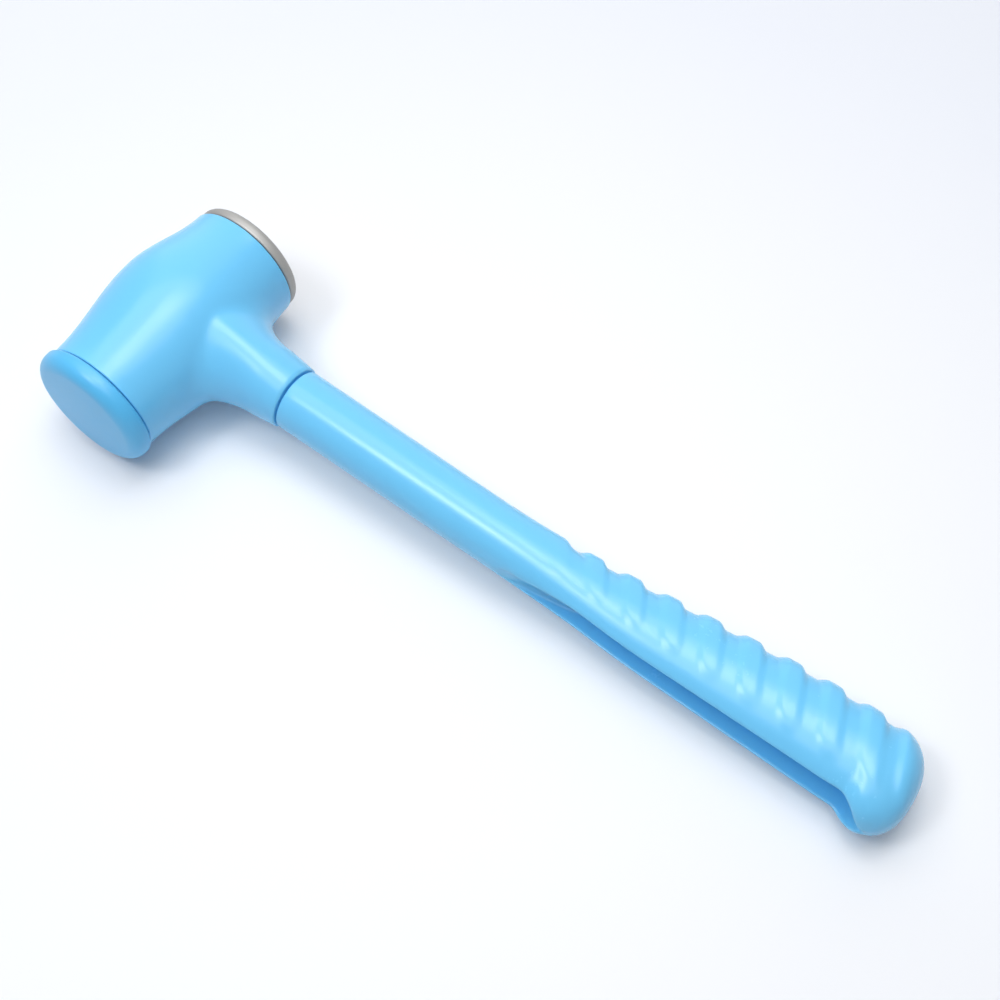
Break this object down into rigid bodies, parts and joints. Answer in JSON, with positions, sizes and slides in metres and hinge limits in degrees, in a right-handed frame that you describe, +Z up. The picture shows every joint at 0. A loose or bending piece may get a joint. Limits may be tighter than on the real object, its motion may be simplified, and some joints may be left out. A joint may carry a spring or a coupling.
{
  "type": "mini hammer",
  "caption": "Small hammer with a swollen barrel head, a soft plastic face opposite a steel face, and a round handle that widens into a finger-scalloped grip with a cored back.",
  "frame": {"origin": "middle of the footprint, on the surface the hammer lies on", "axes": "+X along the handle to the butt, +Y from the soft face to the steel face, +Z up from the surface it lies on"},
  "size_m": [0.1882, 0.0506, 0.0318],
  "materials": {
    "blue_plastic": "satin moulded",
    "cap_plastic": "satin moulded",
    "satin_steel": "satin turned",
    "raw_steel": "as turned"
  },
  "bodies": {
    "root": {"head_shell": "blue_plastic", "striking_cap": "cap_plastic", "steel_face": "satin_steel", "weight_core": "raw_steel", "cap_stud": "raw_steel", "handle_tang": "raw_steel", "handle": "blue_plastic"}
  },
  "joints": []
}
